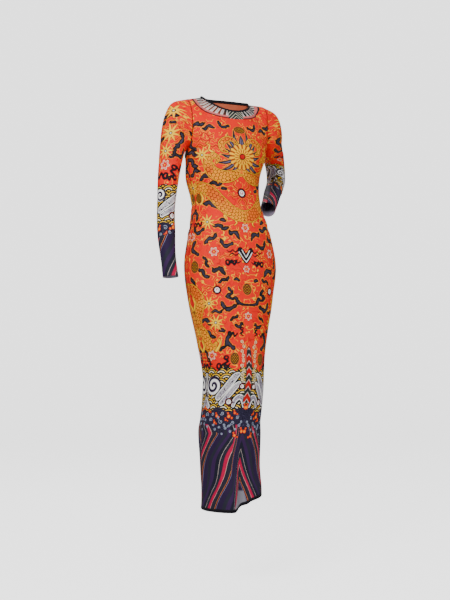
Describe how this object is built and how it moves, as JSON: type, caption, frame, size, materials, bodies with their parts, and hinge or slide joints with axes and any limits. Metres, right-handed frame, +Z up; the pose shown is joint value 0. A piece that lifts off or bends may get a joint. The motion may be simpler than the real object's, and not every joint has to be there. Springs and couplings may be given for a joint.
{
  "type": "printed dress",
  "caption": "Ankle-length close-fitting dress in printed stretch mesh, with a round neck and long sleeves, hollow and posed as worn.",
  "frame": {"origin": "between the shoulders on the level of the shoulder seams, where the wearer's shoulders hold the dress up", "axes": "+Z up, -Y towards the front of the dress, +X towards the wearer's left"},
  "size_m": [0.5603, 0.2983, 1.3176],
  "materials": {
    "printed_mesh": "fine stretch mesh with a soft sheen, printed all over",
    "neck_rib": "matt black rib",
    "hem_edge": "matt black rolled edge"
  },
  "bodies": {
    "root": {"front_panel": "printed_mesh", "back_panel": "printed_mesh", "sleeve_right": "printed_mesh", "sleeve_left": "printed_mesh", "neck_binding": "neck_rib", "hem_band": "hem_edge"}
  },
  "joints": []
}
